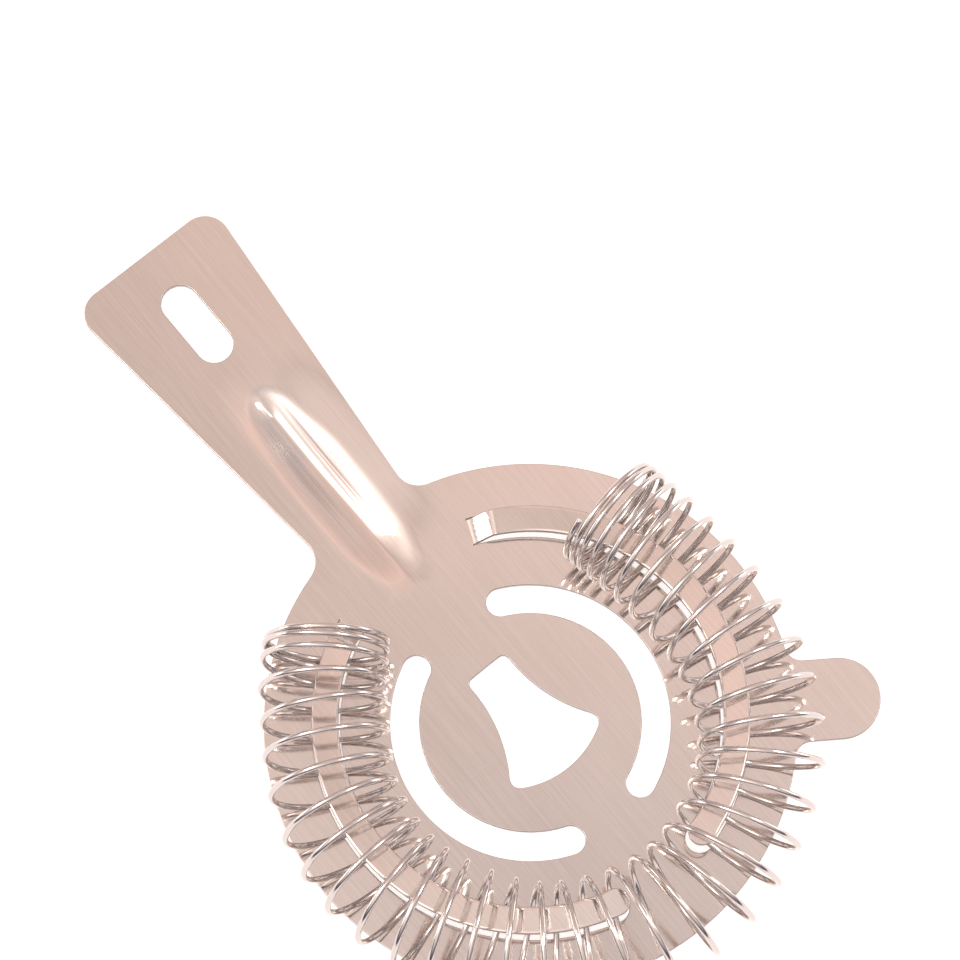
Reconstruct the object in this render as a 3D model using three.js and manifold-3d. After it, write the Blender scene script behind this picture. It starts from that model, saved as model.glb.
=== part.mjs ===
// Hawthorne strainer in millimetres, +Z up: it lies on its back with the spring side up.
// One stamped steel sheet carries one long coil spring, threaded over two lanced tongues.
// +X runs towards the hanging slot. Both pieces are drawn about the centre of the disc.
import * as THREE from "three";
import { ConvexGeometry } from "three/addons/geometries/ConvexGeometry.js";
import { mergeVertices } from "three/addons/utils/BufferGeometryUtils.js";
import Module from "manifold-3d";

const wasm = await Module();
wasm.setup();

const DEG = Math.PI / 180;

// Sheet
const SHEET = 1.0;
const DISC_RADIUS = 47;
const SEGMENTS_PER_ARC = 4;
const LONGEST_ARC = 30;

// Tabs that stand out of the disc. Reach is from the disc's centre to the tab's end.
const HANDLE = { at: 0, reach: 111.1, endHalf: 16.1, taper: 5.46, corner: 4.7, fillet: 4.7 };
const EAR = { reach: 61.9, endHalf: 7.3, taper: 0, corner: 7.2, fillet: 3 };
const EAR_AT = 125;
const TABS = [HANDLE, { ...EAR, at: EAR_AT }, { ...EAR, at: 360 - EAR_AT }];

// Openings cut through the sheet
const HANG_SLOT = { near: 86.3, far: 103.2, width: 6.9 };
const STRAIN_SLOT = { inner: 19.6, outer: 24.7, from: 19, to: 165.6 };
const FAN = {
  neck: { x: 12.5, half: 4.3, corner: 1.4 },
  side: { x: 10.3, radius: 27.7, sweep: 34.5 },
  tip: { x: -7.3, y: 10.3 },
  end: { x: 6.8, radius: 17.3, half: 29 },
};

// Tongues: each is lanced out of the sheet on three sides and bent up at its root.
const TONGUE = { inner: 33.65, outer: 38.35, root: 22, tip: 168.3, cutGap: 0.12 };
const LIFT = { ramp: 7.5, start: 3.4, end: 7.7 };
const TONGUE_STEPS = 48;
const RAMP_STEPS = 8;
const TIP_STEPS = 8;

// Stiffening rib pressed down into the neck: a groove on the spring side, a keel on the back
const RIB = { near: 36, far: 78, deepNear: 45, deepFar: 72, half: 6.4, depth: 2.8, root: 0.3 };

// Coil spring. Its centreline runs through these places, each a radius and an angle about the disc's centre.
const WIRE_RADIUS = 0.55;
const COIL_RADIUS = 10.7;
const COIL_CLEARANCE = 0.25;
const COIL_LINE = [
  [37.7, 31.4],
  [36.0, 50],
  [37.4, 80],
  [39.3, 110],
  [41.3, 145],
  [42.0, 180],
  [40.7, 215],
  [37.5, 245],
  [35.3, 275],
  [38.0, 300.2],
];
// Turns are counted from the first one's outermost place. The wire starts and ends inside a turn.
const FIRST_TURN = -0.55;
const LAST_TURN = 36.65;
// The pitch at some of the turns: closed at both ends and open between them.
const PITCHES = [
  { turn: 0.9, pitch: 1.3 },
  { turn: 2.2, pitch: 4.2 },
  { turn: 4.5, pitch: 5.8 },
  { turn: 11, pitch: 5.4 },
  { turn: 19, pitch: 6.1 },
  { turn: 25, pitch: 5.6 },
  { turn: 29.5, pitch: 5.8 },
  { turn: 35.2, pitch: 1.3 },
];
// How far the tops of the turns lean towards the coil's end, at its start and at its end
const LEAN = { start: -0.5, end: 1.1 };
// The turns at both ends are wound smaller, over this many turns.
const END_TURNS = { smallerBy: 0.2, turns: 1.5 };
const STEPS_PER_TURN = 16;
const WIRE_SIDES = 6;

// Where the disc's centre stands, so that the strainer's middle is at X = 0. The sheet's back stands
// above Z = 0 by the rib's depth, because the keel reaches down to it.
const DISC_X = -29.0;

const STEEL_SHEET = new THREE.MeshStandardMaterial({
  color: 0xd6c3ba,
  roughness: 0.35,
  metalness: 1,
});
const SPRING_WIRE = new THREE.MeshStandardMaterial({
  color: 0xddd5d0,
  roughness: 0.15,
  metalness: 1,
});

// ---- Solids ----

function solidFrom(geometry) {
  geometry.deleteAttribute("normal");
  geometry.deleteAttribute("uv");
  const merged = mergeVertices(geometry, 1e-4);
  return new wasm.Manifold(
    new wasm.Mesh({
      numProp: 3,
      vertProperties: new Float32Array(merged.attributes.position.array),
      triVerts: new Uint32Array(merged.index.array),
    }),
  );
}

function geometryFrom(solid) {
  const mesh = solid.getMesh();
  const shared = new THREE.BufferGeometry();
  shared.setAttribute("position", new THREE.BufferAttribute(mesh.vertProperties, 3));
  shared.setIndex(new THREE.BufferAttribute(mesh.triVerts, 1));
  const flat = shared.toNonIndexed();
  flat.computeVertexNormals();
  return flat;
}

// ---- Flat outlines, angles in degrees ----

const polar = (radius, angle) => ({
  x: radius * Math.cos(angle * DEG),
  y: radius * Math.sin(angle * DEG),
});

function addArc(path, centre, radius, from, to) {
  const pieces = Math.ceil(Math.abs(to - from) / LONGEST_ARC);
  const step = (to - from) / pieces;
  for (let i = 0; i < pieces; i++) {
    const start = (from + i * step) * DEG;
    path.absarc(centre.x, centre.y, radius, start, start + step * DEG, step < 0);
  }
}

const DISC_CENTRE = { x: 0, y: 0 };

// The distance from the disc's centre to a tab's straight edge, square to that edge.
function edgeOffset(tab) {
  return tab.endHalf * Math.cos(tab.taper * DEG) - tab.reach * Math.sin(tab.taper * DEG);
}

// How far round the disc from a tab's own line its fillets are centred.
function filletTurn(tab) {
  return tab.taper + Math.asin((edgeOffset(tab) + tab.fillet) / (DISC_RADIUS + tab.fillet)) / DEG;
}

function addTab(path, tab) {
  const turn = filletTurn(tab);
  const facing = 90 + tab.taper;
  const filletReach = DISC_RADIUS + tab.fillet;
  const alongX = tab.reach - tab.corner;
  const alongY =
    (edgeOffset(tab) - tab.corner) / Math.cos(tab.taper * DEG) + alongX * Math.tan(tab.taper * DEG);
  const cornerReach = Math.hypot(alongX, alongY);
  const cornerTurn = Math.atan2(alongY, alongX) / DEG;
  addArc(path, polar(filletReach, tab.at - turn), tab.fillet, tab.at - turn + 180, tab.at - facing + 180);
  addArc(path, polar(cornerReach, tab.at - cornerTurn), tab.corner, tab.at - facing, tab.at);
  addArc(path, polar(cornerReach, tab.at + cornerTurn), tab.corner, tab.at, tab.at + facing);
  addArc(path, polar(filletReach, tab.at + turn), tab.fillet, tab.at + facing - 180, tab.at + turn - 180);
}

function sheetOutline() {
  const outline = new THREE.Shape();
  TABS.forEach((tab, i) => {
    const next = TABS[(i + 1) % TABS.length];
    const nextAt = next.at > tab.at ? next.at : next.at + 360;
    addTab(outline, tab);
    addArc(outline, DISC_CENTRE, DISC_RADIUS, tab.at + filletTurn(tab), nextAt - filletTurn(next));
  });
  return outline;
}

function hangSlot() {
  const slot = new THREE.Path();
  const radius = HANG_SLOT.width / 2;
  addArc(slot, { x: HANG_SLOT.far - radius, y: 0 }, radius, -90, 90);
  addArc(slot, { x: HANG_SLOT.near + radius, y: 0 }, radius, 90, 270);
  return slot;
}

// A slot round the disc's centre with full-round ends.
function strainSlot(side) {
  const slot = new THREE.Path();
  const middle = (STRAIN_SLOT.inner + STRAIN_SLOT.outer) / 2;
  const half = (STRAIN_SLOT.outer - STRAIN_SLOT.inner) / 2;
  const capTurn = half / middle / DEG;
  const ends = [side * (STRAIN_SLOT.from + capTurn), side * (STRAIN_SLOT.to - capTurn)];
  const from = Math.min(...ends);
  const to = Math.max(...ends);
  addArc(slot, DISC_CENTRE, STRAIN_SLOT.outer, from, to);
  addArc(slot, polar(middle, to), half, to, to + 180);
  addArc(slot, DISC_CENTRE, STRAIN_SLOT.inner, to, from);
  addArc(slot, polar(middle, from), half, from + 180, from + 360);
  return slot;
}

// The opening that a tongue leaves: square at the root, full-round at the tip.
function tongueCut() {
  const cut = new THREE.Shape();
  const inner = TONGUE.inner - TONGUE.cutGap;
  const outer = TONGUE.outer + TONGUE.cutGap;
  const middle = (inner + outer) / 2;
  const half = (outer - inner) / 2;
  const tipCentre = TONGUE.tip - (half - TONGUE.cutGap) / middle / DEG;
  addArc(cut, DISC_CENTRE, outer, TONGUE.root, tipCentre);
  addArc(cut, polar(middle, tipCentre), half, tipCentre, tipCentre + 180);
  addArc(cut, DISC_CENTRE, inner, tipCentre, TONGUE.root);
  return cut;
}

// The fan in the middle: a narrow square neck, hollow sides and a bowed wide end.
function fanOpening() {
  const { neck, side, tip, end } = FAN;
  const fan = new THREE.Path();
  const sideY = neck.half + side.radius;
  const sideEnd = polar(side.radius, -90 - side.sweep);
  fan.moveTo(neck.x, neck.half - neck.corner);
  fan.quadraticCurveTo(neck.x, neck.half, neck.x - neck.corner, neck.half);
  addArc(fan, { x: side.x, y: sideY }, side.radius, -90, -90 - side.sweep);
  const bow = polar(end.radius, 180 - end.half);
  fan.quadraticCurveTo(tip.x, tip.y, end.x + bow.x, bow.y);
  addArc(fan, { x: end.x, y: 0 }, end.radius, 180 - end.half, 180 + end.half);
  fan.quadraticCurveTo(tip.x, -tip.y, side.x + sideEnd.x, -sideY - sideEnd.y);
  addArc(fan, { x: side.x, y: -sideY }, side.radius, 90 + side.sweep, 90);
  fan.quadraticCurveTo(neck.x, -neck.half, neck.x, neck.corner - neck.half);
  return fan;
}

function extruded(shape, depth) {
  return new THREE.ExtrudeGeometry(shape, {
    depth,
    curveSegments: SEGMENTS_PER_ARC,
    bevelEnabled: false,
  });
}

// ---- Tongues ----

// The tongue's lift off the sheet at an angle: a smooth ramp, then a steady rise to the tip.
function liftAt(angle) {
  const rampShare = THREE.MathUtils.smoothstep(angle, TONGUE.root, TONGUE.root + LIFT.ramp);
  const run = (angle - TONGUE.root - LIFT.ramp) / (TONGUE.tip - TONGUE.root - LIFT.ramp);
  return LIFT.start * rampShare + (LIFT.end - LIFT.start) * Math.max(0, run);
}

// Angles across the ramp, along the tongue and closing in on its round tip.
function tongueStations() {
  const middle = (TONGUE.inner + TONGUE.outer) / 2;
  const capTurn = (TONGUE.outer - TONGUE.inner) / 2 / middle / DEG;
  const rampEnd = TONGUE.root + LIFT.ramp;
  const capStart = TONGUE.tip - capTurn;
  const stations = [TONGUE.root - 1];
  for (let i = 0; i < RAMP_STEPS; i++) stations.push(TONGUE.root + (LIFT.ramp * i) / RAMP_STEPS);
  const steady = TONGUE_STEPS - RAMP_STEPS - TIP_STEPS - 1;
  for (let i = 0; i < steady; i++) stations.push(rampEnd + ((capStart - rampEnd) * i) / steady);
  for (let i = 0; i <= TIP_STEPS; i++)
    stations.push(capStart + capTurn * 0.99 * Math.sin((i / TIP_STEPS) * 90 * DEG));
  return { stations, capStart, capTurn };
}

function tongueSolid() {
  const { stations, capStart, capTurn } = tongueStations();
  const middle = (TONGUE.inner + TONGUE.outer) / 2;
  const bar = new THREE.BoxGeometry(1, TONGUE.outer - TONGUE.inner, SHEET, stations.length - 1);
  const places = bar.attributes.position;
  for (let i = 0; i < places.count; i++) {
    const angle = stations[Math.round((places.getX(i) + 0.5) * (stations.length - 1))];
    const intoCap = Math.max(0, (angle - capStart) / capTurn);
    const radius = middle - places.getY(i) * Math.sqrt(1 - intoCap ** 2);
    const { x, y } = polar(radius, angle);
    places.setXYZ(i, x, y, places.getZ(i) + SHEET / 2 + liftAt(angle));
  }
  return solidFrom(bar);
}

// ---- Rib ----

// A hipped wedge that hangs down from a height, with a root that reaches a little above it.
function ribSolid(top) {
  const plan = [
    [RIB.near, 0],
    [RIB.deepNear, RIB.half],
    [RIB.deepNear, -RIB.half],
    [RIB.deepFar, RIB.half],
    [RIB.deepFar, -RIB.half],
    [RIB.far, 0],
  ];
  const corners = [];
  for (const [x, y] of plan) {
    corners.push(new THREE.Vector3(x, y, top));
    corners.push(new THREE.Vector3(x, y, top + RIB.root));
  }
  for (const x of [RIB.deepNear, RIB.deepFar])
    corners.push(new THREE.Vector3(x, 0, top - RIB.depth));
  return solidFrom(new ConvexGeometry(corners));
}

function strainerPlate() {
  const outline = sheetOutline();
  outline.holes.push(hangSlot(), strainSlot(1), strainSlot(-1), fanOpening());
  const cut = solidFrom(extruded(tongueCut(), 3 * SHEET)).translate([0, 0, -SHEET]);
  const tongue = tongueSolid();
  const solid = solidFrom(extruded(outline, SHEET))
    .add(ribSolid(0))
    .subtract(ribSolid(SHEET))
    .subtract(cut)
    .subtract(cut.mirror([0, 1, 0]))
    .add(tongue)
    .add(tongue.mirror([0, 1, 0]));
  const plate = new THREE.Mesh(geometryFrom(solid), STEEL_SHEET);
  plate.name = "strainer_plate";
  return plate;
}

// ---- Coil spring ----

function pitchAt(turn) {
  const next = PITCHES.findIndex((place) => place.turn > turn);
  if (next === 0) return PITCHES[0].pitch;
  if (next === -1) return PITCHES[PITCHES.length - 1].pitch;
  const [before, after] = [PITCHES[next - 1], PITCHES[next]];
  return THREE.MathUtils.mapLinear(turn, before.turn, after.turn, before.pitch, after.pitch);
}

// How much smaller than the others a turn is: most at the wire's two ends.
function shrinkAt(turn) {
  const fromEnd = Math.min(turn - FIRST_TURN, LAST_TURN - turn);
  return END_TURNS.smallerBy * (1 - THREE.MathUtils.smoothstep(fromEnd, 0, END_TURNS.turns));
}

// The wire's own centreline. Every turn lies against the sheet and against the coil's inner side.
class CoilCurve extends THREE.Curve {
  constructor() {
    super();
    const height = SHEET + COIL_CLEARANCE + WIRE_RADIUS + COIL_RADIUS;
    const places = COIL_LINE.map(([radius, angle]) => polar(radius, angle));
    this.centreline = new THREE.CatmullRomCurve3(
      places.map(({ x, y }) => new THREE.Vector3(x, y, height)),
      false,
      "catmullrom",
    );
    this.centreline.arcLengthDivisions = 1000;
    this.steps = Math.round((LAST_TURN - FIRST_TURN) * STEPS_PER_TURN);
    this.runs = [0];
    for (let i = 0; i < this.steps; i++)
      this.runs.push(this.runs[i] + pitchAt(this.turnAt((i + 0.5) / this.steps)));
  }

  turnAt(share) {
    return FIRST_TURN + (LAST_TURN - FIRST_TURN) * share;
  }

  getPoint(share, target = new THREE.Vector3()) {
    const place = share * this.steps;
    const before = Math.min(Math.floor(place), this.steps - 1);
    const run = THREE.MathUtils.lerp(this.runs[before], this.runs[before + 1], place - before);
    const along = run / this.runs[this.steps];
    const turn = this.turnAt(share);
    const shrink = shrinkAt(turn);
    const up = -Math.sin(turn * 2 * Math.PI);
    const out = Math.cos(turn * 2 * Math.PI);
    const ahead = this.centreline.getTangentAt(along);
    const outward = new THREE.Vector3(ahead.y, -ahead.x, 0);
    this.centreline.getPointAt(along, target);
    target.addScaledVector(outward, out * (COIL_RADIUS - shrink) - shrink);
    target.addScaledVector(ahead, up * THREE.MathUtils.lerp(LEAN.start, LEAN.end, along));
    target.z += up * (COIL_RADIUS - shrink) - shrink;
    return target;
  }
}

function coilSpring() {
  const curve = new CoilCurve();
  curve.arcLengthDivisions = curve.steps * 2;
  const section = new THREE.Shape();
  for (let i = 0; i < WIRE_SIDES; i++) {
    const corner = polar(WIRE_RADIUS, (360 * i) / WIRE_SIDES);
    if (i) section.lineTo(corner.x, corner.y);
    else section.moveTo(corner.x, corner.y);
  }
  const wire = new THREE.ExtrudeGeometry(section, { steps: curve.steps, extrudePath: curve });
  const spring = new THREE.Mesh(geometryFrom(solidFrom(wire)), SPRING_WIRE);
  spring.name = "coil_spring";
  return spring;
}

const strainer = new THREE.Group();
strainer.add(strainerPlate(), coilSpring());
strainer.position.set(DISC_X, 0, RIB.depth);

export default strainer;
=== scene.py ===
import math

import bpy
import numpy as np
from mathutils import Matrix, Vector
from mathutils.geometry import delaunay_2d_cdt


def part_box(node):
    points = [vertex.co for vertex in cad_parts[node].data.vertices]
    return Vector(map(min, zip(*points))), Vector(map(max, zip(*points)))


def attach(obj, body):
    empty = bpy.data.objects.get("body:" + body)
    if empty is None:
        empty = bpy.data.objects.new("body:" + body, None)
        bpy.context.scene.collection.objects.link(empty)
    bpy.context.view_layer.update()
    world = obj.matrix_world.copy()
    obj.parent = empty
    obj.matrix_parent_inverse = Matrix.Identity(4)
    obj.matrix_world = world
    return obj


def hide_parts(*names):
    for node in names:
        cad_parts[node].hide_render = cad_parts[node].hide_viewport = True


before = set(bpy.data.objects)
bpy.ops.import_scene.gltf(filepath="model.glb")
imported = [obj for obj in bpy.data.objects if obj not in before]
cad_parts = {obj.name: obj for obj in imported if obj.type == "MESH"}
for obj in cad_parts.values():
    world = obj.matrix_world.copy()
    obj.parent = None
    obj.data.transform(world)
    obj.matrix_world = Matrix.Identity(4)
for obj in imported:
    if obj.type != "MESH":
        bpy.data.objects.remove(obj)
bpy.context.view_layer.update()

MM = 0.001

# ---- Sizes in millimetres and degrees about the disc's centre, as in the CAD ----

SHEET = 1.0
DISC_RADIUS = 47
HANDLE = dict(at=0, reach=111.1, half=16.1, taper=5.46, corner=4.7, fillet=4.7)
EARS = [dict(at=at, reach=61.9, half=7.3, taper=0, corner=7.2, fillet=3) for at in (125, 235)]
HANG_SLOT = dict(near=86.3, far=103.2, width=6.9)
STRAIN_SLOT = dict(inner=19.6, outer=24.7, start=19, end=165.6)
NECK = dict(x=12.5, half=4.3, corner=1.4)
SIDE = dict(x=10.3, radius=27.7, sweep=34.5)
TIP = (-7.3, 10.3)
WIDE_END = dict(x=6.8, radius=17.3, half=29)
TONGUE = dict(inner=33.65, outer=38.35, root=22, tip=168.3, gap=0.12)
LIFT = dict(ramp=7.5, start=3.4, end=7.7)
TONGUE_MIDDLE = (TONGUE["inner"] + TONGUE["outer"]) / 2
TONGUE_HALF = (TONGUE["outer"] - TONGUE["inner"]) / 2
RAMP_END = TONGUE["root"] + LIFT["ramp"]

# Soft forms of the pressed sheet, plainer or absent in the CAD. A pair is where a change starts and ends.
ROLLED_EDGE = dict(fall=0.13, width=0.45, begins=(32, 46), ends=(160, 165))
RIB = dict(
    depth=2.42, first_share=0.68, first_fall=(32, 45), last_fall=(44, 60),
    nose_rise=(60, 78), nose_shallower=0.5, half=6.8, neck_narrower=1.6,
    neck_widens=(34, 45), nose_half=4.5, nose_narrows=(60, 77),
    nose_at=72.6, nose_reach=6.6, soft_crease=0.12, straight=0.42)
SHOULDER = dict(depth=0.38, right=(3, 13), left=(0, 7), begins=(36, 50), ends=(66, 84))

WIRE_RADIUS = 0.55
COIL_RADIUS = 10.7
COIL_CLEARANCE = 0.25
COIL_LINE = [
    (37.7, 31.4), (36.0, 50), (37.4, 80), (39.3, 110), (41.3, 145),
    (42.0, 180), (40.7, 215), (37.5, 245), (35.3, 275), (38.0, 300.2),
]
FIRST_TURN, LAST_TURN = -0.55, 36.65
PITCH_TURNS = [0.9, 2.2, 4.5, 11, 19, 25, 29.5, 35.2]
PITCHES = [1.3, 4.2, 5.8, 5.4, 6.1, 5.6, 5.8, 1.3]
LEAN = (-0.5, 1.1)
END_TURNS = dict(smaller_by=0.2, turns=1.5)
CAD_STEPS_PER_TURN = 16

plate_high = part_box("strainer_plate")[1]
DISC_X = plate_high.x / MM - HANDLE["reach"]
PLATE_Z = plate_high.z / MM - SHEET - LIFT["end"]


def smoothstep(value, low, high):
    share = np.clip((value - low) / (high - low), 0, 1)
    return share * share * (3 - 2 * share)


def unit(vectors):
    return vectors / np.linalg.norm(vectors, axis=1)[:, None]


# ---- Flat outlines of the sheet ----

def polar(radius, angle):
    return np.array([radius * math.cos(math.radians(angle)), radius * math.sin(math.radians(angle))])


def arc(centre, radius, start, end, longest=0.8):
    step = min(max(math.degrees(longest / radius), 0.5), 9)
    count = max(2, math.ceil(abs(end - start) / step))
    angles = np.radians(np.linspace(start, end, count + 1))
    return np.c_[centre[0] + radius * np.cos(angles), centre[1] + radius * np.sin(angles)]


def bend(start, middle, end, count=8):
    t = np.linspace(0, 1, count + 1)[:, None]
    return (1 - t) ** 2 * start + 2 * t * (1 - t) * middle + t ** 2 * end


def joined(runs, longest=1.5):
    """One closed loop through the runs, with long straight stretches cut up and doubled points left out."""
    points = np.concatenate(runs)
    kept = []
    for here, ahead in zip(points, np.roll(points, -1, axis=0)):
        gap = np.linalg.norm(ahead - here)
        if gap < 1e-6:
            continue
        pieces = max(1, math.ceil(gap / longest))
        for i in range(pieces):
            kept.append(here + (ahead - here) * i / pieces)
    return np.array(kept)


def edge_offset(tab):
    taper = math.radians(tab["taper"])
    return tab["half"] * math.cos(taper) - tab["reach"] * math.sin(taper)


def fillet_turn(tab):
    return tab["taper"] + math.degrees(
        math.asin((edge_offset(tab) + tab["fillet"]) / (DISC_RADIUS + tab["fillet"])))


def tab_runs(tab):
    turn, facing = fillet_turn(tab), 90 + tab["taper"]
    reach = DISC_RADIUS + tab["fillet"]
    taper = math.radians(tab["taper"])
    x = tab["reach"] - tab["corner"]
    y = (edge_offset(tab) - tab["corner"]) / math.cos(taper) + x * math.tan(taper)
    away, aside = math.hypot(x, y), math.degrees(math.atan2(y, x))
    at, corner, fillet = tab["at"], tab["corner"], tab["fillet"]
    return [
        arc(polar(reach, at - turn), fillet, at - turn + 180, at - facing + 180, 0.3),
        arc(polar(away, at - aside), corner, at - facing, at, 0.4),
        arc(polar(away, at + aside), corner, at, at + facing, 0.4),
        arc(polar(reach, at + turn), fillet, at + facing - 180, at + turn - 180, 0.3),
    ]


def sheet_outline():
    tabs = [HANDLE] + EARS
    runs = []
    for i, tab in enumerate(tabs):
        after = tabs[(i + 1) % len(tabs)]
        after_at = after["at"] + (360 if after["at"] <= tab["at"] else 0)
        runs += tab_runs(tab)
        runs.append(arc((0, 0), DISC_RADIUS, tab["at"] + fillet_turn(tab), after_at - fillet_turn(after)))
    return joined(runs)


def hang_slot():
    radius = HANG_SLOT["width"] / 2
    return joined([
        arc((HANG_SLOT["far"] - radius, 0), radius, -90, 90, 0.3),
        arc((HANG_SLOT["near"] + radius, 0), radius, 90, 270, 0.3),
    ])


def strain_slot():
    middle = (STRAIN_SLOT["inner"] + STRAIN_SLOT["outer"]) / 2
    half = (STRAIN_SLOT["outer"] - STRAIN_SLOT["inner"]) / 2
    cap = math.degrees(half / middle)
    start, end = STRAIN_SLOT["start"] + cap, STRAIN_SLOT["end"] - cap
    return joined([
        arc((0, 0), STRAIN_SLOT["outer"], start, end, 0.5),
        arc(polar(middle, end), half, end, end + 180, 0.25),
        arc((0, 0), STRAIN_SLOT["inner"], end, start, 0.5),
        arc(polar(middle, start), half, start + 180, start + 360, 0.25),
    ])


def fan_opening():
    side_y = NECK["half"] + SIDE["radius"]
    side_end = (SIDE["x"], side_y) + polar(SIDE["radius"], -90 - SIDE["sweep"])
    bow = (WIDE_END["x"], 0) + polar(WIDE_END["radius"], 180 - WIDE_END["half"])
    x, half, corner = NECK["x"], NECK["half"], NECK["corner"]
    upper = [
        bend(np.array([x, half - corner]), np.array([x, half]), np.array([x - corner, half])),
        arc((SIDE["x"], side_y), SIDE["radius"], -90, -90 - SIDE["sweep"], 0.5),
        bend(side_end, np.array(TIP), bow),
    ]
    end = arc((WIDE_END["x"], 0), WIDE_END["radius"], 180 - WIDE_END["half"], 180 + WIDE_END["half"], 0.5)
    lower = [run[::-1] * (1, -1) for run in upper[::-1]]
    return joined(upper + [end] + lower)


def tongue_edges(gap):
    """The outer arc, round tip and inner arc of a tongue, or of its opening, gap mm outside it."""
    inner, outer = TONGUE["inner"] - gap, TONGUE["outer"] + gap
    middle, half = (inner + outer) / 2, (outer - inner) / 2
    cap = TONGUE["tip"] - math.degrees((half - gap) / middle)
    return [
        arc((0, 0), outer, TONGUE["root"], RAMP_END, 0.3),
        arc((0, 0), outer, RAMP_END, cap),
        arc(polar(middle, cap), half, cap, cap + 180, 0.25),
        arc((0, 0), inner, cap, RAMP_END),
        arc((0, 0), inner, RAMP_END, TONGUE["root"], 0.3),
    ]


def tongue_slit():
    return joined(tongue_edges(TONGUE["gap"]) + [run[::-1] for run in tongue_edges(0)[::-1]])


def area(loop):
    x, y = loop.T
    return 0.5 * np.sum(x * np.roll(y, -1) - y * np.roll(x, -1))


def facing_out(loop):
    """At each point of a loop with the sheet on its left, the step that moves its edges 1 mm out of it."""
    along = unit(np.roll(loop, -1, axis=0) - loop)
    right = np.c_[along[:, 1], -along[:, 0]]
    before = np.roll(right, 1, axis=0)
    both = right + before
    return both / (1 + np.sum(right * before, axis=1))[:, None]


def sheet_loops():
    mirrored = np.array([1, -1])
    holes = [hang_slot(), fan_opening()]
    for hole in (strain_slot(), tongue_slit()):
        holes += [hole, hole * mirrored]
    outline = sheet_outline()
    loops = [outline if area(outline) > 0 else outline[::-1]]
    return loops + [hole if area(hole) < 0 else hole[::-1] for hole in holes]


# ---- Heights of the sheet ----

def tongue_lift(x, y):
    """Lift of the tongues: a bent root, a steady climb to the tip, and long edges rolled down a little."""
    radius, angle = np.hypot(x, y), np.degrees(np.abs(np.arctan2(y, x)))
    from_middle = np.abs(radius - TONGUE_MIDDLE)
    round_end = TONGUE["tip"] - math.degrees(TONGUE_HALF / TONGUE_MIDDLE)
    end_x, end_y = polar(TONGUE_MIDDLE, round_end)
    from_end = np.hypot(x - end_x, np.abs(y) - end_y)
    off_middle = np.where(angle > round_end, from_end, from_middle)
    on = (off_middle < TONGUE_HALF + TONGUE["gap"] / 2) & (angle > TONGUE["root"])
    climbed = np.maximum(0, (angle - RAMP_END) / (TONGUE["tip"] - RAMP_END))
    lift = LIFT["start"] * smoothstep(angle, TONGUE["root"], RAMP_END)
    lift = lift + (LIFT["end"] - LIFT["start"]) * climbed
    near_edge = np.clip(1 - (TONGUE_HALF - from_middle) / ROLLED_EDGE["width"], 0, 1)
    along = smoothstep(angle, *ROLLED_EDGE["begins"]) * (1 - smoothstep(angle, *ROLLED_EDGE["ends"]))
    return np.where(on, lift - ROLLED_EDGE["fall"] * near_edge ** 2 * along, 0)


def rib_half_width(x):
    nose = (RIB["half"] - RIB["nose_half"]) * smoothstep(x, *RIB["nose_narrows"])
    neck = RIB["neck_narrower"] * (1 - smoothstep(x, *RIB["neck_widens"]))
    return RIB["half"] - nose - neck


def rib_depth(x):
    """Depth of the rib's middle line, which falls in two steps from the disc and rises at the nose."""
    first = RIB["first_share"] * smoothstep(x, *RIB["first_fall"])
    last = (1 - RIB["first_share"]) * smoothstep(x, *RIB["last_fall"])
    return RIB["depth"] * (first + last) * (1 - RIB["nose_shallower"] * smoothstep(x, *RIB["nose_rise"]))


def wall_rise(away):
    """Rise of the rib's wall: straight at first, then easing into the level sheet where away is 1."""
    straight = RIB["straight"]
    share = np.clip((away - straight) / (1 - straight), 0, 1)
    eased = share - share ** 3 + share ** 4 / 2
    return np.minimum(away, straight) + (1 - straight) * eased


def shoulder_depth(x, y):
    """How far the pressing draws in the sheet round the rib, which reaches further on one side."""
    right, left = SHOULDER["right"], SHOULDER["left"]
    near_side, far_side = np.where(y < 0, right[0], left[0]), np.where(y < 0, right[1], left[1])
    across = 1 - smoothstep(np.abs(y), near_side, far_side)
    along = smoothstep(x, *SHOULDER["begins"]) * (1 - smoothstep(x, *SHOULDER["ends"]))
    return SHOULDER["depth"] * across * along


def rib_height(x, y):
    """The pressed rib: a groove with a soft crease, walls that ease into the sheet, and a blunt nose."""
    past_nose = np.maximum(0, x - RIB["nose_at"]) / RIB["nose_reach"]
    away = np.sqrt((y / rib_half_width(x)) ** 2 + past_nose ** 2 + RIB["soft_crease"] ** 2)
    lowest = wall_rise(RIB["soft_crease"])
    risen = (wall_rise(away) - lowest) / (wall_rise(1.0) - lowest)
    return -rib_depth(x) * (1 - risen) - shoulder_depth(x, y)


def sheet_height(x, y):
    return tongue_lift(x, y) + rib_height(x, y)


def heights(x, y, step=0.01):
    """Height of the sheet and its slope in x and y."""
    slope_x = (sheet_height(x + step, y) - sheet_height(x - step, y)) / (2 * step)
    slope_y = (sheet_height(x, y + step) - sheet_height(x, y - step)) / (2 * step)
    return sheet_height(x, y), slope_x, slope_y


# ---- Sheet mesh ----

EDGE_ROUND = 0.16
EDGE_STEPS = 4
UV_METRES = 0.1
TONGUE_ROWS = dict(on_ramp=0.5, onward=1.2, tip_clear=1.5, across=(-0.78, -0.55, -0.2, 0.2, 0.55, 0.78))
RIB_NET = dict(
    start=34, end=80.1, pace=0.6, wall=2.5, half=9.9, crease=(0.12, 0.26, 0.45, 0.7, 1.0, 1.4, 1.9))
WIDE_NET = dict(
    pace=3.2, row=0.866, columns=range(-20, 36), rows=range(-24, 25),
    rib_start=33, rib_end=81, rib_half=10.5, tongue_clear=1)
CLEAR_OF_EDGES = dict(rows=0.3, rib=0.35, wide=1.1)


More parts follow.
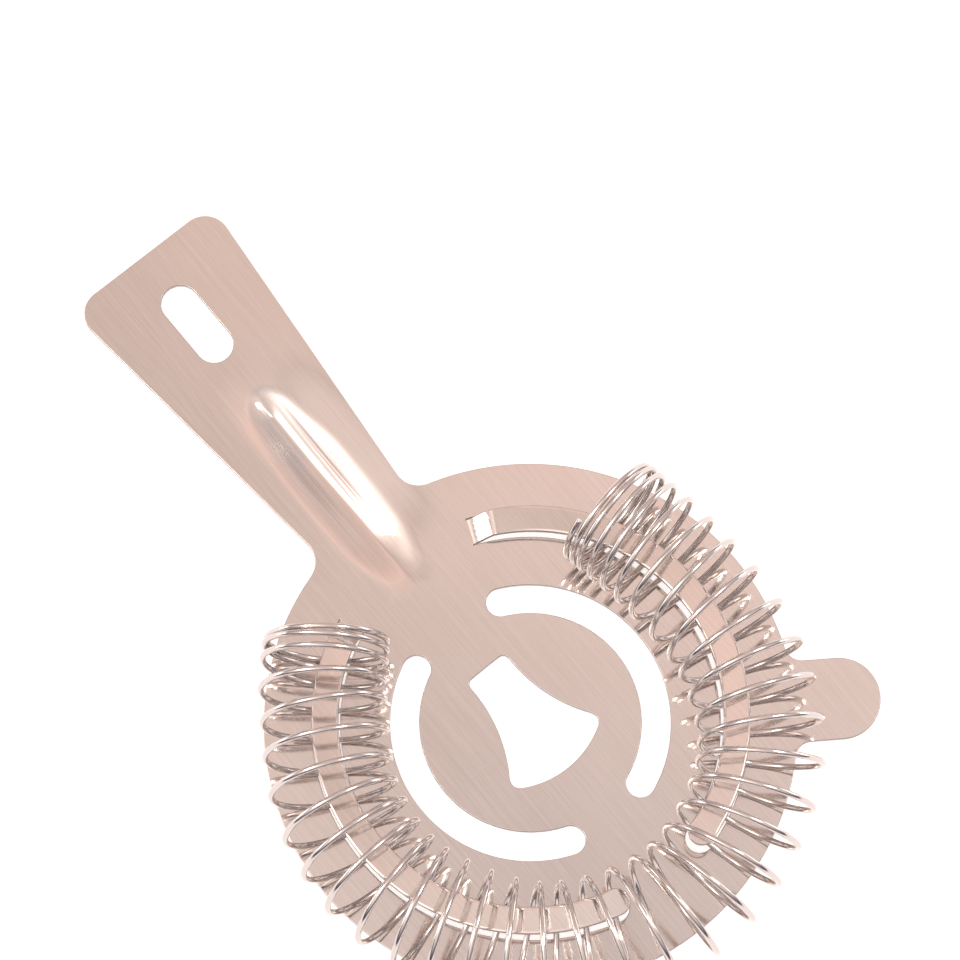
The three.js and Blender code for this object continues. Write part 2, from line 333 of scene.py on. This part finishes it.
def tongue_rows():
    """Rows of points across one tongue, closer together on its bent root."""
    stations = np.concatenate([
        np.arange(TONGUE["root"], RAMP_END, TONGUE_ROWS["on_ramp"]),
        np.arange(RAMP_END, TONGUE["tip"] - TONGUE_ROWS["tip_clear"], TONGUE_ROWS["onward"])])
    across = TONGUE_MIDDLE + TONGUE_HALF * np.array(TONGUE_ROWS["across"])
    return np.array([polar(radius, angle) for angle in stations for radius in across])


def rib_net():
    """A fine net on the rib, finest along its crease."""
    aside = np.concatenate([RIB_NET["crease"], np.arange(RIB_NET["wall"], RIB_NET["half"], RIB_NET["pace"])])
    aside = np.concatenate([-aside[::-1], [0], aside])
    along = np.arange(RIB_NET["start"], RIB_NET["end"], RIB_NET["pace"])
    return np.array([(x, y) for x in along for y in aside])


def wide_net():
    """A net of even triangles on the rest of the sheet."""
    pace, row = WIDE_NET["pace"], WIDE_NET["pace"] * WIDE_NET["row"]
    net = np.array([
        (pace * (i + 0.5 * (j % 2)), row * j) for i in WIDE_NET["columns"] for j in WIDE_NET["rows"]])
    x, y = net.T
    in_rib = (x > WIDE_NET["rib_start"]) & (x < WIDE_NET["rib_end"]) & (np.abs(y) < WIDE_NET["rib_half"])
    radius, angle = np.hypot(x, y), np.degrees(np.abs(np.arctan2(y, x)))
    clear = WIDE_NET["tongue_clear"]
    on_tongue = (np.abs(radius - TONGUE_MIDDLE) < TONGUE_HALF + clear) & (angle > TONGUE["root"] - clear)
    return net[~in_rib & ~on_tongue]


def inside(points, loops):
    """Even-odd test of points against all the loops together."""
    odd = np.zeros(len(points), bool)
    for loop in loops:
        for (x0, y0), (x1, y1) in zip(loop, np.roll(loop, -1, axis=0)):
            if y0 == y1:
                continue
            crossed = (points[:, 1] < y0) != (points[:, 1] < y1)
            odd ^= crossed & (points[:, 0] < x0 + (points[:, 1] - y0) * (x1 - x0) / (y1 - y0))
    return odd


def inner_points(loops):
    """The points of all the nets that lie on the sheet, clear of its edges."""
    edges = np.concatenate(loops)
    rows = tongue_rows()
    nets = [
        (rows, CLEAR_OF_EDGES["rows"]), (rows * (1, -1), CLEAR_OF_EDGES["rows"]),
        (rib_net(), CLEAR_OF_EDGES["rib"]), (wide_net(), CLEAR_OF_EDGES["wide"])]
    kept = []
    for points, clear in nets:
        points = points[inside(points, loops)]
        nearest = np.min(np.linalg.norm(points[:, None] - edges[None], axis=2), axis=1)
        kept.append(points[nearest > clear])
    return np.concatenate(kept)


def on_sheet(points, above_back, tilt, outward=None):
    """Places at a height above the back of the sheet, with normals tilted from up towards outward."""
    height, slope_x, slope_y = heights(points[:, 0], points[:, 1])
    normal = unit(np.c_[-slope_x, -slope_y, np.ones(len(points))]) * math.cos(tilt)
    if outward is not None:
        normal = normal + unit(np.c_[outward, np.zeros(len(points))]) * math.sin(tilt)
    return np.c_[points, height + above_back], normal


def sheet_triangles(flat, borders, loops):
    """Triangles between the flat points, facing up, without those that lie in the openings."""
    _, _, faces, origins, _, _ = delaunay_2d_cdt([Vector(p) for p in flat], borders, [], 0, 1e-7)
    source = [min(origin) for origin in origins]
    corners = np.array([[source[i] for i in face] for face in faces])
    corners = corners[inside(flat[corners].mean(axis=1), loops)]
    facing_down = area(flat[corners[0]]) < 0
    return [tuple(face[::-1] if facing_down else face) for face in corners]


def sheet_mesh():
    """The front and the back of the sheet, joined round every edge by rings that round its corners."""
    loops = sheet_loops()
    outs = [facing_out(loop) for loop in loops]
    inset = [loop - out * EDGE_ROUND for loop, out in zip(loops, outs)]
    flat = np.concatenate(inset + [inner_points(inset)])
    borders, begin = [], 0
    for loop in inset:
        count = len(loop)
        borders += [(begin + i, begin + (i + 1) % count) for i in range(count)]
        begin += count
    triangles = sheet_triangles(flat, borders, inset)

    rim, out = np.concatenate(loops), np.concatenate(outs)
    tilts = np.radians(np.linspace(0, 90, EDGE_STEPS + 1))[1:]
    layers = [on_sheet(flat, SHEET, 0)]
    for tilt in tilts:
        corner = rim - out * EDGE_ROUND * (1 - math.sin(tilt))
        layers.append(on_sheet(corner, SHEET - EDGE_ROUND * (1 - math.cos(tilt)), tilt, out))
    for tilt in tilts[::-1]:
        corner = rim - out * EDGE_ROUND * (1 - math.sin(tilt))
        layers.append(on_sheet(corner, EDGE_ROUND * (1 - math.cos(tilt)), math.pi - tilt, out))
    layers.append(on_sheet(flat, 0, math.pi))

    starts = np.concatenate([[0], np.cumsum([len(places) for places, _ in layers])[:-1]])
    back = starts[-1]
    polygons = triangles + [tuple(i + back for i in face[::-1]) for face in triangles]
    for upper, lower in zip(starts, starts[1:]):
        polygons += [(upper + a, lower + a, lower + b, upper + b) for a, b in borders]
    places = np.concatenate([places for places, _ in layers])
    normals = np.concatenate([normals for _, normals in layers])
    return places, polygons, normals, 2 * len(triangles)


def new_object(name, places, polygons, normals, uvs):
    mesh = bpy.data.meshes.new(name)
    mesh.from_pydata([tuple(p) for p in places], [], [tuple(int(i) for i in face) for face in polygons])
    mesh.shade_smooth()
    layer = mesh.uv_layers.new(name="UVMap")
    corners = np.zeros(len(mesh.loops), int)
    mesh.loops.foreach_get("vertex_index", corners)
    layer.data.foreach_set("uv", uvs[corners].astype(np.float32).ravel())
    mesh.normals_split_custom_set_from_vertices([tuple(n) for n in normals])
    piece = bpy.data.objects.new(name, mesh)
    bpy.context.scene.collection.objects.link(piece)
    return piece


def in_frame(places):
    """Places about the disc's centre in mm, as places in the frame in metres."""
    return (places + (DISC_X, 0, PLATE_Z)) * MM


def make_sheet():
    places, polygons, normals, rim_start = sheet_mesh()
    places = in_frame(places)
    piece = new_object("pressed_sheet", places, polygons, unit(normals), places[:, :2] / UV_METRES)
    piece.data.materials.append(steel_sheet())
    piece.data.materials.append(cut_edge())
    # The first and the last eighth of the edges' faces, on the rounded corners, keep the sheet's own finish.
    finished = (len(polygons) - rim_start) // (EDGE_STEPS * 2)
    cut = np.zeros(len(polygons), np.int32)
    cut[rim_start + finished:-finished] = 1
    piece.data.polygons.foreach_set("material_index", cut)
    return piece


# ---- Spring mesh ----

RINGS_PER_TURN = 64
WIRE_SIDES = 16
LINE_STEPS = 400
WIRE_END = dict(chamfer=0.12, face=0.8)


def coil_centreline():
    """The CatmullRom curve through COIL_LINE: shares of its length, places and directions."""
    through = np.array([polar(radius, angle) for radius, angle in COIL_LINE])
    knots = np.concatenate([[2 * through[0] - through[1]], through, [2 * through[-1] - through[-2]]])
    t = np.linspace(0, 1, LINE_STEPS, endpoint=False)[:, None]
    places, ways = [], []
    for a, b, c, d in zip(knots, knots[1:], knots[2:], knots[3:]):
        start, end = 0.5 * (c - a), 0.5 * (d - b)
        square, cube = -3 * b + 3 * c - 2 * start - end, 2 * b - 2 * c + start + end
        places.append(b + start * t + square * t ** 2 + cube * t ** 3)
        ways.append(start + 2 * square * t + 3 * cube * t ** 2)
    places = np.concatenate(places + [through[-1:]])
    ways = unit(np.concatenate(ways + [ways[-1][-1:]]))
    walked = np.concatenate([[0], np.cumsum(np.linalg.norm(np.diff(places, axis=0), axis=1))])
    return walked / walked[-1], places, ways


def share_walked(share):
    """How far along the centreline the wire is after a share of its turns, from the pitch of each."""
    steps = round((LAST_TURN - FIRST_TURN) * CAD_STEPS_PER_TURN)
    turns = FIRST_TURN + (LAST_TURN - FIRST_TURN) * (np.arange(steps) + 0.5) / steps
    runs = np.concatenate([[0], np.cumsum(np.interp(turns, PITCH_TURNS, PITCHES))])
    return np.interp(share * steps, np.arange(steps + 1), runs / runs[-1])


def coil_wire():
    """Places of the wire's middle, and of the coil's middle beside them."""
    share = np.linspace(0, 1, round((LAST_TURN - FIRST_TURN) * RINGS_PER_TURN) + 1)
    along = share_walked(share)
    turn = FIRST_TURN + (LAST_TURN - FIRST_TURN) * share
    from_end = np.minimum(turn - FIRST_TURN, LAST_TURN - turn)
    shrink = END_TURNS["smaller_by"] * (1 - smoothstep(from_end, 0, END_TURNS["turns"]))
    walked, line, ways = coil_centreline()
    centre = np.c_[np.interp(along, walked, line[:, 0]), np.interp(along, walked, line[:, 1])]
    ahead = unit(np.c_[np.interp(along, walked, ways[:, 0]), np.interp(along, walked, ways[:, 1])])
    outward = np.c_[ahead[:, 1], -ahead[:, 0]]
    up, out = -np.sin(2 * np.pi * turn), np.cos(2 * np.pi * turn)
    lean = LEAN[0] + (LEAN[1] - LEAN[0]) * along
    radius = COIL_RADIUS - shrink
    flat = centre + outward * (out * radius - shrink)[:, None] + ahead * (up * lean)[:, None]
    height = SHEET + COIL_CLEARANCE + WIRE_RADIUS + COIL_RADIUS
    return np.c_[flat, height + up * radius - shrink], np.c_[centre, np.full(len(centre), height)]


def wire_spokes(wire, middle):
    """The wire's direction at each ring, and the ring's spokes, from the one that faces the coil's middle."""
    tangent = unit(np.gradient(wire, axis=0))
    inward = middle - wire
    inward = unit(inward - tangent * np.sum(inward * tangent, axis=1)[:, None])
    aside = np.cross(tangent, inward)
    angles = np.linspace(0, 2 * np.pi, WIRE_SIDES, endpoint=False)[None, :, None]
    return tangent, inward[:, None] * np.cos(angles) + aside[:, None] * np.sin(angles)


def make_spring():
    wire, middle = coil_wire()
    tangent, spokes = wire_spokes(wire, middle)
    count, ring = len(wire), np.arange(WIRE_SIDES)
    sides = list(zip(ring, (ring + 1) % WIRE_SIDES))
    places = [(wire[:, None] + spokes * WIRE_RADIUS).reshape(-1, 3)]
    normals = [spokes.reshape(-1, 3)]
    polygons = []
    for a in range(0, (count - 1) * WIRE_SIDES, WIRE_SIDES):
        b = a + WIRE_SIDES
        polygons += [(a + s, a + t, b + t, b + s) for s, t in sides]
    for end, way in ((0, -1), (count - 1, 1)):
        body, begin = end * WIRE_SIDES, sum(len(p) for p in places)
        out = way * tangent[end]
        face = wire[end] + out * WIRE_END["chamfer"]
        places += [face + spokes[end] * WIRE_RADIUS * WIRE_END["face"], face[None]]
        normals.append(np.repeat(out[None], WIRE_SIDES + 1, axis=0))
        for s, t in sides:
            chamfer = (body + s, body + t, begin + t, begin + s)
            cap = (begin + s, begin + t, begin + WIRE_SIDES)
            polygons += [chamfer, cap] if way == 1 else [chamfer[::-1], cap[::-1]]
    places, normals = np.concatenate(places), np.concatenate(normals)
    length = np.concatenate([[0], np.cumsum(np.linalg.norm(np.diff(wire, axis=0), axis=1))])
    uvs = np.zeros((len(places), 2))
    uvs[:count * WIRE_SIDES, 0] = np.repeat(length, WIRE_SIDES) * MM
    uvs[:count * WIRE_SIDES, 1] = np.tile(ring / WIRE_SIDES, count)
    return new_object("coil_spring_wire", in_frame(places), polygons, normals, uvs)


# ---- Materials ----

# Stretches of noise are in waves per metre along the handle, across it and up.
GRAIN = dict(fine=(120, 4200, 2500), streak=(22, 1700, 300), cloud=(55, 90, 55), drawn=(14, 1300, 0))
GRAIN_SHARE = dict(streak=0.35, cloud=0.2, fine=0.45)
# The drawn colour is near-white. Mixed into the drawing streaks on steep pressed slopes, it is a painted
# sheen that stands for their streaky reflection.
STEEL = dict(
    dark=(0.715, 0.640, 0.600), light=(0.795, 0.716, 0.677), scuffed=(1.0, 0.93, 0.84), drawn=(1, 0.96, 0.95))
COAT = {"Coat Weight": 0.5, "Coat Roughness": 0.42, "Coat IOR": 1.8}
BRUSHED = {"Anisotropic": 0.3, "Anisotropic Rotation": 0.25}
SCUFF = dict(x=67, y=2.5, radius=3.2, speckle=(3200, 3200, 0))
CUT = dict(tears=(1400, 1400, 5000), dark=(0.30, 0.285, 0.30), light=(0.46, 0.43, 0.435))
WIRE = dict(drawn=(90, 14, 1), dark=(0.60, 0.555, 0.54), light=(0.70, 0.655, 0.64))
FLOOR_GLOW = 0.55


class Nodes:
    """The node tree of a material or of the world, with short ways to add to it."""

    def __init__(self, owner):
        owner.use_nodes = True
        self.owner = owner
        self.tree = owner.node_tree

    def add(self, kind, inputs=(), **settings):
        node = self.tree.nodes.new("ShaderNode" + kind)
        for key, value in settings.items():
            setattr(node, key, value)
        for key, value in dict(inputs).items():
            self.put(node.inputs[key], value)
        return node

    def put(self, socket, value):
        if isinstance(value, bpy.types.NodeSocket):
            self.tree.links.new(value, socket)
        elif socket.type == "RGBA":
            socket.default_value = (*value, 1)
        else:
            socket.default_value = value

    def shade(self, inputs):
        """Set inputs of the material's own shader."""
        for key, value in inputs.items():
            self.put(self.tree.nodes["Principled BSDF"].inputs[key], value)

    def coordinates(self, kind):
        return self.add("TexCoord").outputs[kind]

    def maths(self, operation, *values):
        return self.add("Math", dict(enumerate(values)), operation=operation).outputs[0]

    def scaled_sum(self, *terms):
        """The sum of value times factor over the terms."""
        total = 0.0
        for value, factor in terms:
            total = self.maths("MULTIPLY_ADD", value, factor, total)
        return total

    def noise(self, coordinates, stretch, detail=2.0):
        mapping = self.add("Mapping", {"Vector": coordinates, "Scale": stretch})
        noise = self.add("TexNoise", {
            "Vector": mapping.outputs[0], "Scale": 1.0, "Detail": detail, "Roughness": 0.5})
        return noise.outputs["Fac"]

    def fit(self, value, low, high, to_low, to_high):
        node = self.add("MapRange", {
            "Value": value, "From Min": low, "From Max": high, "To Min": to_low, "To Max": to_high})
        return node.outputs["Result"]

    def ramp(self, value, stops):
        node = self.add("ValToRGB", {"Fac": value})
        points = node.color_ramp.elements
        for at, _ in stops[2:]:
            points.new(at)
        for point, (at, colour) in zip(points, sorted(stops)):
            point.position, point.color = at, (*colour, 1)
        return node.outputs["Color"]

    def blend(self, share, first, second):
        node = self.add("Mix", data_type="RGBA")
        colour_a, colour_b, colour_out = node.inputs[6], node.inputs[7], node.outputs[2]
        self.put(node.inputs["Factor"], share)
        self.put(colour_a, first)
        self.put(colour_b, second)
        return colour_out

    def scuffed(self, where):
        """Speckles that thin out around a spot on the sheet."""
        spot = Vector(((DISC_X + SCUFF["x"]) * MM, SCUFF["y"] * MM, (PLATE_Z + SHEET) * MM))
        away = self.add("VectorMath", {0: where, 1: spot}, operation="DISTANCE").outputs["Value"]
        near = self.fit(away, SCUFF["radius"] * MM, 0, 0, 1)
        speckle = self.noise(where, SCUFF["speckle"], 1)
        return self.maths("MULTIPLY", near, self.fit(speckle, 0.48, 0.56, 0, 1))

    def tilted(self):
        """0 where the sheet is level, growing with the slope of its pressed and bent places."""
        facing = self.add("SeparateXYZ", {"Vector": self.coordinates("Normal")})
        return self.maths("SUBTRACT", 1.0, self.maths("ABSOLUTE", facing.outputs[2]))


def new_material(name):
    return Nodes(bpy.data.materials.new(name))


def steel_sheet():
    """Brushed sheet: grain along the handle, a scuff on the rib, and drawing streaks where it is pressed,
    which also carry a painted sheen.
    """
    n = new_material("brushed_warm_steel")
    where = n.coordinates("Object")
    fine = n.noise(where, GRAIN["fine"])
    streak, cloud, drawn = (n.noise(where, GRAIN[kind], 3) for kind in ("streak", "cloud", "drawn"))
    tone = n.scaled_sum(
        (streak, GRAIN_SHARE["streak"]), (cloud, GRAIN_SHARE["cloud"]), (fine, GRAIN_SHARE["fine"]))
    scuff, tilted = n.scuffed(where), n.tilted()
    pressed = n.fit(tilted, 0.05, 0.10, 0, 1)
    # Drawing streaks on the steep pressed slopes, mixed towards near-white: real marks with a painted sheen
    # on them.
    drawn_streak_sheen = n.maths("MULTIPLY", pressed, n.fit(drawn, 0.42, 0.60, 0, 0.35))
    colour = n.blend(n.fit(tone, 0.35, 0.65, 0, 1), STEEL["dark"], STEEL["light"])
    colour = n.blend(scuff, colour, STEEL["scuffed"])
    colour = n.blend(drawn_streak_sheen, colour, STEEL["drawn"])
    rougher = n.maths("ADD", n.maths("MULTIPLY", scuff, 0.3), n.fit(tilted, 0.01, 0.2, 0, 0.12))
    roughness = n.maths("ADD", n.fit(fine, 0.3, 0.7, 0.05, 0.09), rougher)
    grain = n.add("Bump", {"Strength": 0.03, "Distance": 0.00001, "Height": streak})
    marks = n.add("Bump", {
        "Strength": n.fit(tilted, 0.04, 0.10, 0, 1), "Distance": 0.0001,
        "Height": drawn, "Normal": grain.outputs[0]})
    tangent = n.add("Tangent", direction_type="UV_MAP", uv_map="UVMap")
    n.shade({
        "Base Color": colour, "Metallic": 1.0, "Roughness": roughness, "Normal": marks.outputs[0],
        "Tangent": tangent.outputs[0], **COAT, **BRUSHED})
    return n.owner


def cut_edge():
    n = new_material("sheared_steel_edge")
    tears = n.noise(n.coordinates("Object"), CUT["tears"], 3)
    n.shade({
        "Base Color": n.blend(tears, CUT["dark"], CUT["light"]), "Metallic": 1.0,
        "Roughness": n.fit(tears, 0.3, 0.7, 0.24, 0.34)})
    return n.owner


def spring_wire():
    """Bright wire with faint drawing lines along it, by its length and its turn in the UV map."""
    n = new_material("bright_spring_wire")
    drawn = n.noise(n.coordinates("UV"), WIRE["drawn"])
    lines = n.add("Bump", {"Strength": 0.1, "Distance": 0.00002, "Height": drawn})
    n.shade({
        "Base Color": n.blend(drawn, WIRE["dark"], WIRE["light"]), "Metallic": 1.0,
        "Roughness": n.fit(drawn, 0.3, 0.7, 0.13, 0.20), "Normal": lines.outputs[0]})
    return n.owner


def floor_paint():
    n = new_material("pale_floor")
    n.shade({
        "Base Color": (0.9, 0.9, 0.9), "Roughness": 0.9,
        "Emission Color": (1, 1, 1), "Emission Strength": FLOOR_GLOW})
    return n.owner


# ---- Pieces ----

sheet = make_sheet()
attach(sheet, "plate")
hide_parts("strainer_plate")

spring = make_spring()
spring.data.materials.append(spring_wire())
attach(spring, "spring")
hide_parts("coil_spring")

# ---- Floor ----

FLOOR_HALF = 6.0
CORNERS = ((-1, -1), (1, -1), (1, 1), (-1, 1))
floor_mesh = bpy.data.meshes.new("floor")
floor_mesh.from_pydata([(x * FLOOR_HALF, y * FLOOR_HALF, 0) for x, y in CORNERS], [], [(0, 1, 2, 3)])
floor = bpy.data.objects.new("floor", floor_mesh)
bpy.context.scene.collection.objects.link(floor)
floor_mesh.materials.append(floor_paint())

# ---- Lamps: two high ones for each piece, and two low ones for both ----

LOOK_AT = Vector((DISC_X * MM, 0, 0.01))
LAMP_DISTANCE = 1.0
CREAM = (1.0, 0.965, 0.90)
HIGH_LEFT, HIGH_RIGHT = (-0.245, -0.435, 0.867), (0.293, 0.481, 0.826)
LOW_LEFT, LOW_RIGHT = (-0.187, -0.982, 0.14), (0.767, 0.642, 0.14)


def lit_only(name, piece):
    group = bpy.data.collections.new(name)
    group.objects.link(piece)
    return group


def lamp(name, way, size, radiance, lit=None):
    """An area lamp that faces the disc from a direction. With a group in lit, it lights that piece alone."""
    width, height = size
    data = bpy.data.lights.new(name, "AREA")
    data.shape = "RECTANGLE"
    data.size, data.size_y = width, height
    data.energy = radiance * math.pi * width * height
    data.color = CREAM
    item = bpy.data.objects.new(name, data)
    way = Vector(way).normalized()
    item.location = LOOK_AT + way * LAMP_DISTANCE
    item.rotation_euler = way.to_track_quat("Z", "Y").to_euler()
    if lit:
        item.light_linking.receiver_collection = lit
    bpy.context.scene.collection.objects.link(item)


sheet_only, spring_only = lit_only("lit_sheet", sheet), lit_only("lit_spring", spring)
lamp("lamp_a", HIGH_LEFT, (0.26, 0.26), 1.8, sheet_only)
lamp("lamp_b", HIGH_RIGHT, (0.28, 0.28), 3.0, sheet_only)
lamp("lamp_a_on_wire", HIGH_LEFT, (0.26, 0.26), 15.0, spring_only)
lamp("lamp_b_on_wire", HIGH_RIGHT, (0.26, 0.26), 15.0, spring_only)
lamp("lamp_c", LOW_LEFT, (0.55, 0.28), 3.0)
lamp("lamp_d", LOW_RIGHT, (0.55, 0.28), 3.0)

# ---- World: a soft warm ceiling over a dark horizon ----

# Colours of the ceiling along x, from -0.4 to 0.4, and what multiplies them along y, from -1 to 1.
CEILING = (
    (0.2, (0.90, 0.786, 0.731)), (0.61, (0.735, 0.648, 0.624)), (0.75, (0.835, 0.686, 0.632)),
    (0.825, (0.80, 0.648, 0.590)), (0.875, (0.81, 0.648, 0.589)))
CEILING_HALF = 0.4
SIDES = (
    (-0.9, (1.0, 1.0, 1.0)), (-0.5, (1.10, 1.06, 1.05)), (-0.21, (1.30, 1.23, 1.20)),
    (-0.13, (1.0, 1.0, 1.0)), (-0.11, (0.86, 0.86, 0.865)), (-0.05, (0.97, 0.97, 0.98)),
    (0.05, (0.90, 0.90, 0.91)), (0.3, (1.0, 1.0, 1.0)), (0.7, (1.3, 1.3, 1.3)))
HORIZON = dict(colour=(0.045, 0.045, 0.065), tilt_x=-0.15, tilt_y=0.13, low=0.05, high=0.60)
SKY_STRENGTH = 2.03  # it also makes up for the halved side stops
GLOW = dict(way=(0.12, 0.40, 0.91), width=0.05, colour=(1.0, 0.93, 0.85), strength=1.5)


def ceiling_colour(n, x, y):
    """The ceiling's colour by direction. The side stops are halved, as a ramp's colours end at 1."""
    ceiling = n.ramp(n.fit(x, -CEILING_HALF, CEILING_HALF, 0, 1), CEILING)
    halved = [((at + 1) / 2, tuple(c / 2 for c in colour)) for at, colour in SIDES]
    side = n.ramp(n.fit(y, -1, 1, 0, 1), halved)
    return n.add("VectorMath", {0: ceiling, 1: side}, operation="MULTIPLY").outputs[0]


def glow_strength(n, way):
    """A round glow that fades away from its middle direction."""
    middle = Vector(GLOW["way"]).normalized()
    toward = n.add("VectorMath", {0: way, 1: middle}, operation="DOT_PRODUCT").outputs["Value"]
    fall = n.maths("DIVIDE", n.maths("SUBTRACT", toward, 1.0), GLOW["width"])
    return n.maths("MULTIPLY", n.maths("EXPONENT", fall), GLOW["strength"])


def studio_world():
    """A soft warm ceiling that darkens towards the horizon, most of all on the camera's side."""
    n = Nodes(bpy.data.worlds.new("studio"))
    way = n.coordinates("Generated")
    x, y, z = n.add("SeparateXYZ", {"Vector": way}).outputs
    sideways = n.scaled_sum((x, HORIZON["tilt_x"]), (y, HORIZON["tilt_y"]))
    open_sky = n.fit(n.maths("SUBTRACT", z, sideways), HORIZON["low"], HORIZON["high"], 0, 1)
    open_sky = n.maths("SMOOTH_MIN", open_sky, 1.0, 0.2)
    sky = n.tree.nodes["Background"]
    n.put(sky.inputs["Color"], n.blend(open_sky, HORIZON["colour"], ceiling_colour(n, x, y)))
    n.put(sky.inputs["Strength"], SKY_STRENGTH)
    glow = n.add("Background", {"Color": GLOW["colour"], "Strength": glow_strength(n, way)})
    both = n.add("AddShader", {0: sky.outputs[0], 1: glow.outputs[0]})
    n.put(n.tree.nodes["World Output"].inputs["Surface"], both.outputs[0])
    return n.owner


bpy.context.scene.world = studio_world()
bpy.context.scene.view_settings.view_transform = "Standard"

# ---- Camera, at the photograph's viewing angle ----

CAMERA = dict(x=-0.1187, y=0.0835, above_sheet=0.6327, turned=(14.7469, 0.1129, -129.3798), lens=136.815)

camera_data = bpy.data.cameras.new("camera")
camera_data.lens = CAMERA["lens"]
camera_data.sensor_width = 36
camera_data.clip_start, camera_data.clip_end = 0.01, 50
camera = bpy.data.objects.new("camera", camera_data)
camera.location = (CAMERA["x"], CAMERA["y"], CAMERA["above_sheet"] + PLATE_Z * MM)
camera.rotation_euler = [math.radians(turn) for turn in CAMERA["turned"]]
bpy.context.scene.collection.objects.link(camera)
bpy.context.scene.camera = camera
